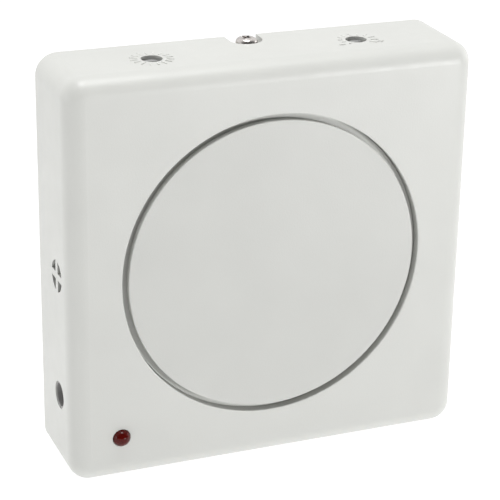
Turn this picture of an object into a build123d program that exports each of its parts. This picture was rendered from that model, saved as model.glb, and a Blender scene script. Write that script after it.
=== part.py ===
from build123d import *
import math
import os

# Indoor alarm siren: a square moulded housing that hangs on a wall plate and is held by one screw.
# Frame: the origin is the centre of the wall plate's back face, +X is to the right and +Z is up as
# seen from the room, and the front faces -Y.  All sizes are in millimetres.

# --- Housing ------------------------------------------------------------------------------------
WIDTH = 111.0
HEIGHT = 110.0
DEPTH = 26.5                # wall to front face
WALL = 2.2                  # moulded wall thickness
CORNER_R = 5.75             # corners seen from the front
FRONT_EDGE_R = 5.0          # rounding between the front and the sides
DRAFT = 0.4                 # mould draft of the sides, degrees
RIM_GAP = 0.3               # the housing's rim stands this far off the wall

FRONT = -DEPTH              # y of the front face
INSIDE = FRONT + WALL       # y of the front wall's inner face

# --- Sound opening and disc ---------------------------------------------------------------------
OPENING_R = 41.4
DISC_R = 39.75
DISC_T = 1.6
OPENING_EDGE_R = 0.3
DISC_EDGE_R = 0.3
COLLAR_T = 1.8              # sleeve behind the opening
BAFFLE_FRONT = -20.6
BAFFLE_T = 2.0
BAFFLE_BACK = BAFFLE_FRONT + BAFFLE_T
BAFFLE_R = 44.0
BAFFLE_PORT_R = 24.8
LAND_FRONT = -24.0          # raised ring of the baffle, behind the slot
LAND_R = 38.4
LAND_GAP = 0.15
EAR_PITCH = 33.6            # baffle screws, from the centre along X and along Z
POST_RADIUS_AT = 35.5       # the disc's posts, from the centre
POST_R = 2.6

# --- Small screws -------------------------------------------------------------------------------
SCREW_R = 1.1
SCREW_PILOT_R = 1.16
SCREW_HEAD_R = 2.1
SCREW_HEAD_H = 1.5

# --- Hinge line at the lower back edge ----------------------------------------------------------
HINGE_Y = -2.4
HINGE_Z = 2.4 - HEIGHT / 2
HINGE_X = 30.0              # middle of each hook
ROLL_EDGE_R = 2.4           # the lower back edge is rounded about the hinge line
HOOK_R = 2.2
PIN_R = 1.15
PIN_HOLE_R = 1.25
HOOK_HALF = 4.6
LUG_INNER = 5.0             # the wall plate's hinge lugs, from the middle of each hook
LUG_OUTER = 8.5
LUG_R = 2.1

# --- Wall plate ---------------------------------------------------------------------------------
PLATE_T = 2.2
PLATE_HALF_W = 52.7
PLATE_TOP = 52.2
PLATE_BOTTOM = HINGE_Z + ROLL_EDGE_R + 0.4
LIP_T = 1.2
LIP_DEPTH = 5.2
WALL_SCREW_R = 2.1
WALL_SCREW_X = 30.0
WALL_SCREW_Z = 30.0
KEYHOLE_HEAD_R = 4.2
KEYHOLE_DROP = 8.0
WINDOW = (-14.0, 14.0, -44.0, -22.0)     # cable window: x from, x to, z from, z to

# --- Cover screw at the top ---------------------------------------------------------------------
LATCH_Y = -4.3
NOTCH_X = -0.3              # the notch's middle is a little left of the screw
NOTCH_R = 4.4
LEDGE_TOP = 52.8
LEDGE_T = 1.6
LEDGE_HALF_W = 6.2
LEDGE_FRONT = -10.6
LATCH_SLOT_R = 1.8
LATCH_LUG_TOP = LEDGE_TOP - LEDGE_T - 0.5
LATCH_LUG_BOTTOM = 44.5
LATCH_LUG_HALF_W = 5.0
LATCH_LUG_FRONT = -9.0
LATCH_SHANK_R = 1.5
LATCH_HEAD_R = 2.95
LATCH_HEAD_H = 2.6
LATCH_HEAD_SEAT = LEDGE_TOP + 0.15
LATCH_SHANK_END = 44.0
NUT_FLATS = 5.5
NUT_BOTTOM = 46.6
NUT_H = 2.4

# --- Circuit board ------------------------------------------------------------------------------
BOARD_FRONT = -10.0
BOARD_T = 1.6
BOARD_BACK = BOARD_FRONT + BOARD_T
BOARD_HALF_W = 49.5
BOARD_BOTTOM = -48.0
BOARD_TOP = 50.0
BOARD_HOLE_R = 19.5
BOARD_SCREW_X = 46.0
BOARD_SCREW_Z = 18.0
BOARD_BOSS_R = 2.9

# --- What stands on the board, as x and z -------------------------------------------------------
PIN_PITCH = 2.54
TONE_CHIP = (-6.0, -40.0)
AMPLIFIER_CHIP = (-38.0, -8.0)
CAPACITORS = (               # x, z, radius, height
    (14.0, -42.5, 4.0, 8.0),
    (25.0, -43.0, 3.1, 7.0),
    (-26.0, -42.0, 4.0, 8.0),
    (42.5, -5.0, 3.1, 7.0),
)
RESISTORS = (
    (33.0, -44.5),
    (41.0, -44.5),
    (33.0, -40.5),
    (41.0, -40.5),
    (-40.0, 40.0),
    (38.0, 38.5),
)
TRANSISTORS = ((44.0, -29.0), (44.0, -35.5))
WIRE_HEADER = (22.0, -29.0)
TERMINAL_X = (-7.5, -2.5, 2.5, 7.5)
TERMINAL_Z = -35.5

# the two leads from the header to the speaker's solder tags, each x, y, z
LEAD_A = (
    (23.25, -11.6, -29.0),
    (23.25, -16.2, -29.0),
    (20.5, -15.9, -34.6),
    (9.0, -15.4, -36.4),
    (-1.5, -14.9, -35.4),
    (-3.0, -14.3, -31.6),
    (-3.0, -16.3, -31.6),
)
LEAD_B = (
    (20.75, -11.6, -29.0),
    (20.75, -16.0, -29.0),
    (17.5, -15.6, -32.4),
    (10.0, -15.3, -33.6),
    (4.5, -14.8, -33.4),
    (3.0, -14.3, -31.6),
    (3.0, -16.3, -31.6),
)

# --- Panel features -----------------------------------------------------------------------------
LED_X = -42.0
LED_Z = -42.6
LED_R = 2.4
LED_HOLE_R = 2.45
LED_TIP = FRONT - 1.9
LED_BASE = LED_TIP + 8.6
LED_PITCH = 2.54            # between the two leads
ADJUSTER_X = (-28.9, 27.1)
ADJUSTER_Y = -13.1
ADJUSTER_HOLE_R = 2.8
JACK_Y = -15.5
JACK_Z = -33.0
JACK_HOLE_R = 3.7
VENT_Y = -15.5
VENT_Z = 0.7
VENT_R = 4.25
VENT_BAR = 1.8
VENT_WEB_T = 1.0            # the wall is thinned behind the vent
JACK_NOSE_R = 3.6
JACK_BORE_R = 3.15

# --- Loudspeaker, on the centre line, profiles as (radius, y) -----------------------------------
GASKET_T = 0.8
FLANGE_FRONT = BAFFLE_BACK + GASKET_T
FLANGE_T = 0.8
FLANGE_R = 31.2
SPEAKER_SCREW_AT = 28.9
BASKET_MOUTH_R = 24.6
BASKET_MOUTH_BACK = -16.6   # the basket's mouth is straight down to here
BASKET_FLOOR = -12.0        # front face of the basket's floor
TOP_PLATE_T = 2.0
MAGNET_T = 3.6
YOKE_T = 1.7
MAGNET_R = 17.5
TOP_PLATE_FRONT = BASKET_FLOOR + FLANGE_T
MAGNET_FRONT = TOP_PLATE_FRONT + TOP_PLATE_T
YOKE_FRONT = MAGNET_FRONT + MAGNET_T
POLE_R = 6.3
GAP_R = 7.9
COIL_R = 6.75
CONE_NECK_Y = -14.4
CONE_RIM_R = 20.5
CONE_RIM_Y = -17.4
PAPER_T = 0.4
ROLL_R = 1.85


# --- Plain solids -------------------------------------------------------------------------------
def rod_x(radius, x0, x1, y, z):
    return Pos((x0 + x1) / 2, y, z) * Rot(0, 90, 0) * Cylinder(radius, x1 - x0)


def rod_y(radius, y0, y1, x=0.0, z=0.0):
    return Pos(x, (y0 + y1) / 2, z) * Rot(90, 0, 0) * Cylinder(radius, y1 - y0)


def rod_z(radius, z0, z1, x, y):
    return Pos(x, y, (z0 + z1) / 2) * Cylinder(radius, z1 - z0)


def block(x0, x1, y0, y1, z0, z1):
    return Pos((x0 + x1) / 2, (y0 + y1) / 2, (z0 + z1) / 2) * Box(x1 - x0, y1 - y0, z1 - z0)


def turned(*profile):
    """Solid of revolution about the speaker's axis, from (radius, y) points."""
    return revolve(make_face(Polyline(*profile, close=True)), Axis.Y)


def ring_y(inner, outer, y0, y1):
    return rod_y(outer, y0, y1) - rod_y(inner, y0 - 1, y1 + 1)


def round_the_clock(radius, count, first_angle=0.0):
    """Places (x, z) evenly spaced on a circle about the middle of the front."""
    step = 360.0 / count
    angles = [math.radians(first_angle + step * i) for i in range(count)]
    return [(radius * math.cos(a), radius * math.sin(a)) for a in angles]


def mirrored(x, z):
    """The four places at plus and minus x and z."""
    return [(sx * x, sz * z) for sx in (-1, 1) for sz in (-1, 1)]


def pan_screw(head_r, head_h, shank_r, length):
    """Cross-head screw on Z: the head's underside is at z = 0 and the shank points down."""
    head = Cylinder(head_r, head_h, align=(Align.CENTER, Align.CENTER, Align.MIN))
    head = fillet(head.faces().sort_by(Axis.Z)[-1].edges(), head_h * 0.55)
    shank = Cylinder(shank_r, length, align=(Align.CENTER, Align.CENTER, Align.MAX))
    shank = chamfer(shank.faces().sort_by(Axis.Z)[0].edges(), shank_r * 0.35)
    recess_w = head_r * 0.3
    recess_l = head_r * 1.15
    recess_h = head_h * 0.62
    for angle in (0, 90):
        arm = Rectangle(recess_l, recess_w)
        cut = extrude(Pos(0, 0, head_h) * arm, amount=-recess_h, taper=12)
        head -= Rot(0, 0, angle) * cut
    return head + shank


def screws_from_behind(places, seat_y, length):
    """Small screws whose heads face the wall, seated on a face at seat_y."""
    screw = pan_screw(SCREW_HEAD_R, SCREW_HEAD_H, SCREW_R, length)
    return [Pos(x, seat_y, z) * Rot(-90, 0, 0) * screw for x, z in places]


# --- Housing ------------------------------------------------------------------------------------
def moulded_block(inset, depth):
    """The housing's outline set in by a wall thickness, drawn forward from the rim."""
    outline = RectangleRounded(WIDTH - 2 * inset, HEIGHT - 2 * inset, CORNER_R - inset)
    body = extrude(Plane.XZ * outline, amount=depth, taper=DRAFT)
    front = body.faces().sort_by(Axis.Y)[0]
    body = fillet(front.edges(), FRONT_EDGE_R - inset)
    return Pos(0, -RIM_GAP, 0) * body


def hinge_hook(side):
    """Hook of the lower edge that hangs over one hinge pin and is open downwards."""
    x0 = side * HINGE_X - HOOK_HALF
    x1 = side * HINGE_X + HOOK_HALF
    web_back = HINGE_Y - PIN_HOLE_R
    hook = rod_x(HOOK_R, x0, x1, HINGE_Y, HINGE_Z)
    hook += block(x0, x1, HINGE_Y - 3.6, web_back, -HEIGHT / 2, HINGE_Z + HOOK_R)
    hook -= rod_x(PIN_HOLE_R, x0 - 1, x1 + 1, HINGE_Y, HINGE_Z)
    mouth = block(x0 - 1, x1 + 1, web_back, HINGE_Y + PIN_HOLE_R, -HEIGHT, HINGE_Z - 0.5)
    tail = block(x0 - 1, x1 + 1, HINGE_Y, 1, -HEIGHT, HINGE_Z)
    return hook - mouth - tail


def front_cover():
    cover = moulded_block(0, DEPTH - RIM_GAP) - moulded_block(WALL, DEPTH - RIM_GAP - WALL)

    # round sound opening with its sleeve, and the bosses behind the front wall
    embed = INSIDE - 0.6
    cover += rod_y(OPENING_R + COLLAR_T, embed, BAFFLE_FRONT)
    for x, z in mirrored(EAR_PITCH, EAR_PITCH):
        cover += rod_y(3.0, embed, BAFFLE_FRONT, x, z)
        cover -= rod_y(SCREW_PILOT_R, BAFFLE_FRONT - 4.0, BAFFLE_FRONT + 1, x, z)
    for x, z in mirrored(BOARD_SCREW_X, BOARD_SCREW_Z):
        cover += rod_y(BOARD_BOSS_R, embed, BOARD_FRONT, x, z)
        cover -= rod_y(SCREW_PILOT_R, BOARD_FRONT - 7.0, BOARD_FRONT + 1, x, z)
    cover -= rod_y(OPENING_R, FRONT - 1, BAFFLE_FRONT + 1)
    rim = [
        edge
        for edge in cover.edges().filter_by(GeomType.CIRCLE)
        if abs(edge.radius - OPENING_R) < 0.01 and abs(edge.center().Y - FRONT) < 0.01
    ]
    cover = fillet(rim, OPENING_EDGE_R)

    # recessed ledge and U-shaped notch for the cover screw
    top = HEIGHT / 2
    ledge_under = LEDGE_TOP - LEDGE_T
    cover += block(
        -LEDGE_HALF_W, LEDGE_HALF_W, LEDGE_FRONT, -RIM_GAP, ledge_under, LEDGE_TOP + 0.6
    )
    cover -= rod_z(NOTCH_R, LEDGE_TOP, top + 1, NOTCH_X, LATCH_Y)
    cover -= block(NOTCH_X - NOTCH_R, NOTCH_X + NOTCH_R, LATCH_Y, 1, LEDGE_TOP, top + 1)
    cover -= rod_z(LATCH_SLOT_R, ledge_under - 1, top, 0, LATCH_Y)
    cover -= block(-LATCH_SLOT_R, LATCH_SLOT_R, LATCH_Y, 1, ledge_under - 1, top)

    # holes for the two adjusters, the supply jack, the indicator and the side vent
    for x in ADJUSTER_X:
        cover -= rod_z(ADJUSTER_HOLE_R, top - WALL - 2, top + 1, x, ADJUSTER_Y)
    side = -WIDTH / 2
    cover -= rod_x(JACK_HOLE_R, side - 1, side + WALL + 2, JACK_Y, JACK_Z)
    cover -= rod_y(LED_HOLE_R, FRONT - 1, INSIDE + 1, LED_X, LED_Z)
    cover -= rod_x(VENT_R + 1, side + VENT_WEB_T, side + WALL + 2, VENT_Y, VENT_Z)
    vent = rod_x(VENT_R, side - 1, side + WALL + 2, VENT_Y, VENT_Z)
    half = VENT_BAR / 2
    vent -= block(side - 2, 0, VENT_Y - half, VENT_Y + half, VENT_Z - VENT_R, VENT_Z + VENT_R)
    vent -= block(side - 2, 0, VENT_Y - VENT_R, VENT_Y + VENT_R, VENT_Z - half, VENT_Z + half)
    cover -= vent

    # lower back edge rounded about the hinge line, notched for the plate's lugs, with two hooks
    corner = block(-WIDTH, WIDTH, HINGE_Y, 1, -HEIGHT, HINGE_Z)
    cover -= corner - rod_x(ROLL_EDGE_R, -WIDTH, WIDTH, HINGE_Y, HINGE_Z)
    notch_front = HINGE_Y - LUG_R - 0.7
    for hand in (-1, 1):
        middle = hand * HINGE_X
        reach = LUG_OUTER + 0.4
        cover -= block(middle - reach, middle + reach, notch_front, 1, -HEIGHT, HINGE_Z + 2)
        cover += hinge_hook(hand)
    return cover


def front_disc():
    disc = rod_y(DISC_R, FRONT, FRONT + DISC_T)
    disc = fillet(disc.faces().sort_by(Axis.Y)[0].edges(), DISC_EDGE_R)
    for x, z in round_the_clock(POST_RADIUS_AT, 4):
        disc += rod_y(POST_R, FRONT + DISC_T - 0.5, BAFFLE_FRONT, x, z)
        disc -= rod_y(SCREW_PILOT_R, BAFFLE_FRONT - 3.4, BAFFLE_FRONT + 1, x, z)
    return disc


def sound_baffle():
    baffle = rod_y(BAFFLE_R, BAFFLE_FRONT, BAFFLE_BACK)
    baffle += ring_y(LAND_R, OPENING_R - LAND_GAP, LAND_FRONT, BAFFLE_FRONT + 0.2)
    for x, z in mirrored(EAR_PITCH, EAR_PITCH):
        baffle += rod_y(3.6, BAFFLE_FRONT, BAFFLE_BACK, x, z)
        baffle -= rod_y(SCREW_R + 0.2, -DEPTH, 0, x, z)
    for x, z in round_the_clock(POST_RADIUS_AT, 4):
        baffle -= rod_y(SCREW_R + 0.2, -DEPTH, 0, x, z)
    for x, z in round_the_clock(SPEAKER_SCREW_AT, 4, 45):
        baffle -= rod_y(SCREW_PILOT_R, -DEPTH, 0, x, z)
    return baffle - rod_y(BAFFLE_PORT_R, -DEPTH, 0)


# --- Wall plate and cover screw -----------------------------------------------------------------
def keyhole(x, z):
    """Keyhole whose narrow end is centred at (x, z), with the wide end below."""
    cut = rod_y(WALL_SCREW_R, -PLATE_T - 1, 1, x, z)
    cut += block(x - WALL_SCREW_R, x + WALL_SCREW_R, -PLATE_T - 1, 1, z - KEYHOLE_DROP, z)
    return cut + rod_y(KEYHOLE_HEAD_R, -PLATE_T - 1, 1, x, z - KEYHOLE_DROP)


def wall_plate():
    plate = block(-PLATE_HALF_W, PLATE_HALF_W, -PLATE_T, 0, PLATE_BOTTOM, PLATE_TOP)
    for hand in (-1, 1):
        edges = sorted((hand * PLATE_HALF_W, hand * (PLATE_HALF_W - LIP_T)))
        plate += block(edges[0], edges[1], -LIP_DEPTH, -PLATE_T + 0.2, PLATE_BOTTOM + 4, PLATE_TOP)
    upright = plate.edges().filter_by(Axis.Y).filter_by(lambda e: e.center().Z > PLATE_TOP - 0.1)
    outer = upright.filter_by(lambda e: abs(e.center().X) > PLATE_HALF_W - 0.1)
    plate = fillet(outer, 2.6)

    # lug for the cover screw, under the housing's ledge
    gap = LEDGE_HALF_W + 0.6
    plate -= block(-gap, gap, -LIP_DEPTH - 1, 1, LATCH_LUG_TOP, PLATE_TOP + 1)
    half = LATCH_LUG_HALF_W
    plate += block(-half, half, LATCH_LUG_FRONT, -PLATE_T + 0.2, LATCH_LUG_BOTTOM, LATCH_LUG_TOP)
    plate -= rod_z(LATCH_SHANK_R + 0.06, LATCH_LUG_BOTTOM - 1, LATCH_LUG_TOP + 1, 0, LATCH_Y)
    pocket = RegularPolygon(NUT_FLATS / 2 + 0.1, 6, major_radius=False, rotation=30)
    nut_hole = extrude(Pos(0, LATCH_Y, NUT_BOTTOM - 0.1) * pocket, amount=NUT_H + 0.2)
    flat = NUT_FLATS / 2 + 0.1
    nut_hole += block(
        -flat, flat, LATCH_LUG_FRONT - 1, LATCH_Y, NUT_BOTTOM - 0.1, NUT_BOTTOM + NUT_H + 0.1
    )
    plate -= nut_hole

    # two hinge pins, each between two lugs
    for hand in (-1, 1):
        middle = hand * HINGE_X
        for near, far in ((-LUG_OUTER, -LUG_INNER), (LUG_INNER, LUG_OUTER)):
            x0 = middle + near
            x1 = middle + far
            plate += rod_x(LUG_R, x0, x1, HINGE_Y, HINGE_Z)
            plate += block(x0, x1, HINGE_Y - LUG_R, 0, HINGE_Z, PLATE_BOTTOM + 1.5)
        plate += rod_x(PIN_R, middle - LUG_OUTER + 1, middle + LUG_OUTER - 1, HINGE_Y, HINGE_Z)

    # wall screw holes and the cable window
    for x in (-WALL_SCREW_X, WALL_SCREW_X):
        plate -= keyhole(x, WALL_SCREW_Z)
        plate -= rod_y(WALL_SCREW_R, -PLATE_T - 1, 1, x, -WALL_SCREW_Z)
    plate -= block(WINDOW[0], WINDOW[1], -PLATE_T - 1, 1, WINDOW[2], WINDOW[3])
    for z in (-5.0, 8.0):
        plate += block(-24, 24, -PLATE_T - 1.2, -PLATE_T + 0.2, z - 0.8, z + 0.8)
    return plate


def captive_nut():
    hexagon = RegularPolygon(NUT_FLATS / 2, 6, major_radius=False, rotation=30)
    nut = extrude(Pos(0, LATCH_Y, NUT_BOTTOM) * hexagon, amount=NUT_H)
    return nut - rod_z(LATCH_SHANK_R + 0.04, 0, HEIGHT, 0, LATCH_Y)


def cover_screw():
    length = LATCH_HEAD_SEAT - LATCH_SHANK_END
    screw = pan_screw(LATCH_HEAD_R, LATCH_HEAD_H, LATCH_SHANK_R, length)
    return Pos(0, LATCH_Y, LATCH_HEAD_SEAT) * Rot(0, 0, 35) * screw


# --- Loudspeaker --------------------------------------------------------------------------------
def speaker_gasket():
    gasket = ring_y(BAFFLE_PORT_R, FLANGE_R, BAFFLE_BACK, FLANGE_FRONT)
    for x, z in round_the_clock(SPEAKER_SCREW_AT, 4, 45):
        gasket -= rod_y(SCREW_R + 0.2, -DEPTH, 0, x, z)
    return gasket


def speaker_basket():
    t = FLANGE_T
    basket = turned(
        (FLANGE_R, FLANGE_FRONT),
        (FLANGE_R, FLANGE_FRONT + t),
        (BASKET_MOUTH_R + t, FLANGE_FRONT + t),
        (BASKET_MOUTH_R + t, BASKET_MOUTH_BACK + t / 2),
        (16.0, BASKET_FLOOR + t),
        (GAP_R + 0.3, BASKET_FLOOR + t),
        (GAP_R + 0.3, BASKET_FLOOR),
        (15.6, BASKET_FLOOR),
        (BASKET_MOUTH_R, BASKET_MOUTH_BACK),
        (BASKET_MOUTH_R, FLANGE_FRONT),
    )
    for x, z in round_the_clock(20.6, 6, 30):
        angle = math.degrees(math.atan2(z, x))
        basket -= Rot(0, -angle, 0) * Pos(20.6, -14.5, 0) * Box(6.4, 9, 12)
    for x, z in round_the_clock(SPEAKER_SCREW_AT, 4, 45):
        basket -= rod_y(SCREW_R + 0.2, -DEPTH, 0, x, z)
    return basket


def speaker_yoke():
    yoke = rod_y(MAGNET_R - 1.5, YOKE_FRONT, YOKE_FRONT + YOKE_T)
    yoke = chamfer(yoke.faces().sort_by(Axis.Y)[-1].edges(), 0.5)
    return yoke + rod_y(POLE_R, TOP_PLATE_FRONT, YOKE_FRONT + 0.2)


def speaker_tag_board():
    board = block(-6, 6, FLANGE_FRONT + FLANGE_T, FLANGE_FRONT + FLANGE_T + 1.0, -30.8, -26.0)
    for x in (-3.0, 3.0):
        board += block(x - 1, x + 1, FLANGE_FRONT + 1.0, FLANGE_FRONT + 1.5, -33.0, -29.0)
    return board


def voice_coil():
    former = ring_y(COIL_R, COIL_R + 0.2, CONE_NECK_Y - 0.2, MAGNET_FRONT + 1.2)
    winding = ring_y(COIL_R + 0.1, COIL_R + 0.7, TOP_PLATE_FRONT - 0.4, MAGNET_FRONT + 0.4)
    return former + winding


def cone():
    t = PAPER_T
    neck = COIL_R + 0.25
    return turned(
        (neck, CONE_NECK_Y),
        (neck, CONE_NECK_Y - t),
        (CONE_RIM_R, CONE_RIM_Y - t),
        (CONE_RIM_R, CONE_RIM_Y),
    )


def dust_cap():
    """Domed cap over the coil: a thin slice of a hollow ball."""
    radius = 7.4
    height = 2.2
    ball = (radius**2 + height**2) / (2 * height)
    base = CONE_NECK_Y - PAPER_T - 0.15
    centre = Pos(0, base - height + ball, 0)
    shell = centre * Sphere(ball) - centre * Sphere(ball - 0.3)
    return shell & rod_y(radius, base - height - 1, base)


def surround():
    """Half roll of the cone's soft edge, and the flat ring glued behind the cone's rim."""
    middle = CONE_RIM_R + ROLL_R
    crest = CONE_RIM_Y - PAPER_T - ROLL_R
    t = 0.35
    base = CONE_RIM_Y - PAPER_T
    outer = ThreePointArc((middle - ROLL_R, base), (middle, crest), (middle + ROLL_R, base))
    inner = ThreePointArc((middle + ROLL_R - t, base), (middle, crest + t), (middle - ROLL_R + t, base))
    outline = [outer, Line(outer @ 1, inner @ 0), inner, Line(inner @ 1, outer @ 0)]
    return revolve(make_face(Curve() + outline), Axis.Y)


def spider():
    """Corrugated disc that centres the coil."""
    inner = COIL_R + 0.25
    pitch = 1.5
    wave = 0.35
    t = 0.25
    front = [(inner + pitch * i, -13.3 - (wave if i % 2 else 0)) for i in range(5)]
    back = [(r, y + t) for r, y in reversed(front)]
    return turned(*front, *back)


# --- Circuit board and what stands on it --------------------------------------------------------
def circuit_board():
    outline = Pos(0, (BOARD_TOP + BOARD_BOTTOM) / 2) * RectangleRounded(
        2 * BOARD_HALF_W, BOARD_TOP - BOARD_BOTTOM, 3.0
    )
    board = extrude(Plane.XZ * outline, amount=BOARD_T)
    board = Pos(0, BOARD_BACK, 0) * board
    board -= rod_y(BOARD_HOLE_R, -DEPTH, 0)
    notch = LATCH_LUG_HALF_W + 3
    board -= block(-notch, notch, -DEPTH, 0, LATCH_LUG_BOTTOM - 2.5, HEIGHT)
    for x, z in mirrored(BOARD_SCREW_X, BOARD_SCREW_Z):
        board -= rod_y(SCREW_R + 0.2, -DEPTH, 0, x, z)
    for x, z in led_lead_places():
        board -= block(x - 0.4, x + 0.4, -DEPTH, 0, z - 0.4, z + 0.4)
    return board


def led_lead_places():
    return [(LED_X - LED_PITCH / 2, LED_Z), (LED_X + LED_PITCH / 2, LED_Z)]


def led_lens():
    lens = rod_y(LED_R, LED_TIP + LED_R, LED_BASE, LED_X, LED_Z)
    lens += Pos(LED_X, LED_TIP + LED_R, LED_Z) * Sphere(LED_R)
    lens += rod_y(LED_R + 0.4, LED_BASE - 1.0, LED_BASE, LED_X, LED_Z)
    for x, z in led_lead_places():
        lens -= block(x - 0.3, x + 0.3, LED_BASE - 3.0, LED_BASE + 1, z - 0.3, z + 0.3)
    return lens


def led_leads():
    back = BOARD_BACK + 1.0
    return [
        block(x - 0.25, x + 0.25, LED_BASE - 2.9, back, z - 0.25, z + 0.25)
        for x, z in led_lead_places()
    ]


def led_spacer():
    spacer = rod_y(LED_R + 0.6, LED_BASE, BOARD_FRONT, LED_X, LED_Z)
    for x, z in led_lead_places():
        spacer -= block(x - 0.4, x + 0.4, -DEPTH, 0, z - 0.4, z + 0.4)
    return spacer


def dc_jack():
    """Supply jack: a block whose round nose fills the hole in the housing's side."""
    x0 = -WIDTH / 2 + WALL + 0.4
    jack = block(x0, x0 + 13.6, BOARD_FRONT - 10.4, BOARD_FRONT, JACK_Z - 4.5, JACK_Z + 4.5)
    jack = chamfer(jack.edges().filter_by(Axis.X), 0.8)
    jack += rod_x(JACK_NOSE_R, -WIDTH / 2 + 0.35, x0 + 1, JACK_Y, JACK_Z)
    jack -= rod_x(JACK_BORE_R, -WIDTH / 2 - 1, x0 + 9.5, JACK_Y, JACK_Z)
    jack -= rod_x(1.1, x0 + 8, x0 + 13.0, JACK_Y, JACK_Z)
    return jack


def dc_jack_pin():
    x0 = -WIDTH / 2 + WALL + 0.4
    pin = rod_x(1.05, x0 + 1.2, x0 + 12.8, JACK_Y, JACK_Z)
    return fillet(pin.faces().sort_by(Axis.X)[0].edges(), 0.7)


def dc_jack_spring():
    """Bent leaf that touches the side of the plug."""
    x0 = -WIDTH / 2 + WALL + 0.4
    leaf = block(x0 + 3.0, x0 + 9.4, JACK_Y - 0.9, JACK_Y + 0.9, JACK_Z - 2.95, JACK_Z - 2.65)
    return leaf + block(x0 + 3.0, x0 + 4.4, JACK_Y - 0.9, JACK_Y + 0.9, JACK_Z - 2.95, JACK_Z - 2.3)


def adjuster_body(x):
    top = 51.4
    half = 4.75
    body = block(x - half, x + half, BOARD_FRONT - 6.2, BOARD_FRONT, top - 4.8, top)
    return body - rod_z(1.6, top - 4.0, top + 1, x, ADJUSTER_Y)


def adjuster_rotor(x):
    top = HEIGHT / 2 - 0.9
    rotor = rod_z(1.5, 47.6, 52.2, x, ADJUSTER_Y)
    rotor += rod_z(2.3, 52.0, top, x, ADJUSTER_Y)
    rotor = chamfer(rotor.faces().sort_by(Axis.Z)[-1].edges(), 0.3)
    return rotor - block(x - 1.9, x + 1.9, ADJUSTER_Y - 0.4, ADJUSTER_Y + 0.4, top - 1.0, top + 1)


def terminal_block():
    back = BOARD_BACK + 7.0
    body = block(-10.2, 10.2, BOARD_BACK, back, TERMINAL_Z - 4.3, TERMINAL_Z + 4.3)
    body = chamfer(body.faces().sort_by(Axis.Y)[-1].edges().filter_by(Axis.X), 0.8)
    for x in TERMINAL_X:
        body -= rod_y(1.9, BOARD_BACK + 2.6, back + 1, x, TERMINAL_Z)
        body -= block(
            x - 1.7, x + 1.7, BOARD_BACK + 0.8, BOARD_BACK + 3.8, TERMINAL_Z - 1, TERMINAL_Z + 6
        )
    return body


def terminal_screws():
    screws = []
    for x in TERMINAL_X:
        screw = rod_y(1.7, BOARD_BACK + 4.4, BOARD_BACK + 6.2, x, TERMINAL_Z)
        screw += rod_y(1.0, BOARD_BACK + 1.4, BOARD_BACK + 4.6, x, TERMINAL_Z)
        slot = block(x - 2, x + 2, BOARD_BACK + 5.4, 0, TERMINAL_Z - 0.25, TERMINAL_Z + 0.25)
        screws.append(screw - slot)
    return screws


def chip(x, z, length, pins_a_side):
    """Dual in-line chip lying along X, with its legs down to the board."""
    half = 3.2
    front = BOARD_FRONT - 4.1
    body = block(x - length / 2, x + length / 2, front, BOARD_FRONT - 0.7, z - half, z + half)
    body = chamfer(body.edges().filter_by(Axis.X), 0.5)
    first = -(pins_a_side - 1) / 2 * PIN_PITCH
    for i in range(pins_a_side):
        px = x + first + PIN_PITCH * i
        for hand in (-1, 1):
            outer = z + hand * 3.9
            shoulder = sorted((z + hand * 3.0, outer))
            body += block(px - 0.6, px + 0.6, BOARD_FRONT - 2.7, BOARD_FRONT - 2.4, *shoulder)
            leg = sorted((outer - hand * 0.3, outer))
            body += block(px - 0.35, px + 0.35, BOARD_FRONT - 2.7, BOARD_FRONT, *leg)
    return body


def capacitors():
    """Upright electrolytic capacitors, each x, z, radius and height."""
    cans = []
    for x, z, radius, height in CAPACITORS:
        front = BOARD_FRONT - height
        can = rod_y(radius, front, BOARD_FRONT, x, z)
        can = fillet(can.faces().sort_by(Axis.Y)[0].edges(), 0.5)
        groove = rod_y(radius + 1, BOARD_FRONT - 1.6, BOARD_FRONT - 1.1, x, z)
        groove -= rod_y(radius - 0.35, -DEPTH, 0, x, z)
        cans.append(can - groove)
    return cans


def resistors():
    """Lying resistors with a wire bent down to the board at each end."""
    parts = []
    for x, z in RESISTORS:
        y = BOARD_FRONT - 1.4
        body = rod_x(1.0, x - 2.6, x + 2.6, y, z)
        for hand in (-1, 1):
            body += Pos(x + hand * 2.1, y, z) * Sphere(1.2)
            wire_end = x + hand * 3.6
            body += rod_x(0.3, min(x, wire_end), max(x, wire_end), y, z)
            body += rod_y(0.3, y - 0.3, BOARD_FRONT, wire_end - hand * 0.3, z)
        parts.append(body)
    return parts


def transistors():
    """Small three-legged drivers with a flat side."""
    parts = []
    for x, z in TRANSISTORS:
        body = rod_y(2.3, BOARD_FRONT - 6.6, BOARD_FRONT - 2.0, x, z)
        body -= block(x + 1.2, x + 4, -DEPTH, 0, z - 4, z + 4)
        for step in (-PIN_PITCH / 2, 0.0, PIN_PITCH / 2):
            leg = z + step
            body += block(x - 0.25, x + 0.25, BOARD_FRONT - 2.2, BOARD_FRONT, leg - 0.2, leg + 0.2)
        parts.append(body)
    return parts


def speaker_header():
    x, z = WIRE_HEADER
    body = block(x - 3.8, x + 3.8, BOARD_FRONT - 4.0, BOARD_FRONT, z - 2.4, z + 2.4)
    for step in (-1.25, 1.25):
        body -= rod_y(0.62, BOARD_FRONT - 5, BOARD_FRONT - 1.5, x + step, z)
    return body


def speaker_lead(route):
    path = FilletPolyline(*route, radius=0.75)
    start = Plane(path @ 0, z_dir=path % 0)
    return sweep(start * Circle(0.5), path=path)


# --- Writing ------------------------------------------------------------------------------------
def grouped(solids):
    return Compound(children=[solid.solid() for solid in solids])


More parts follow.
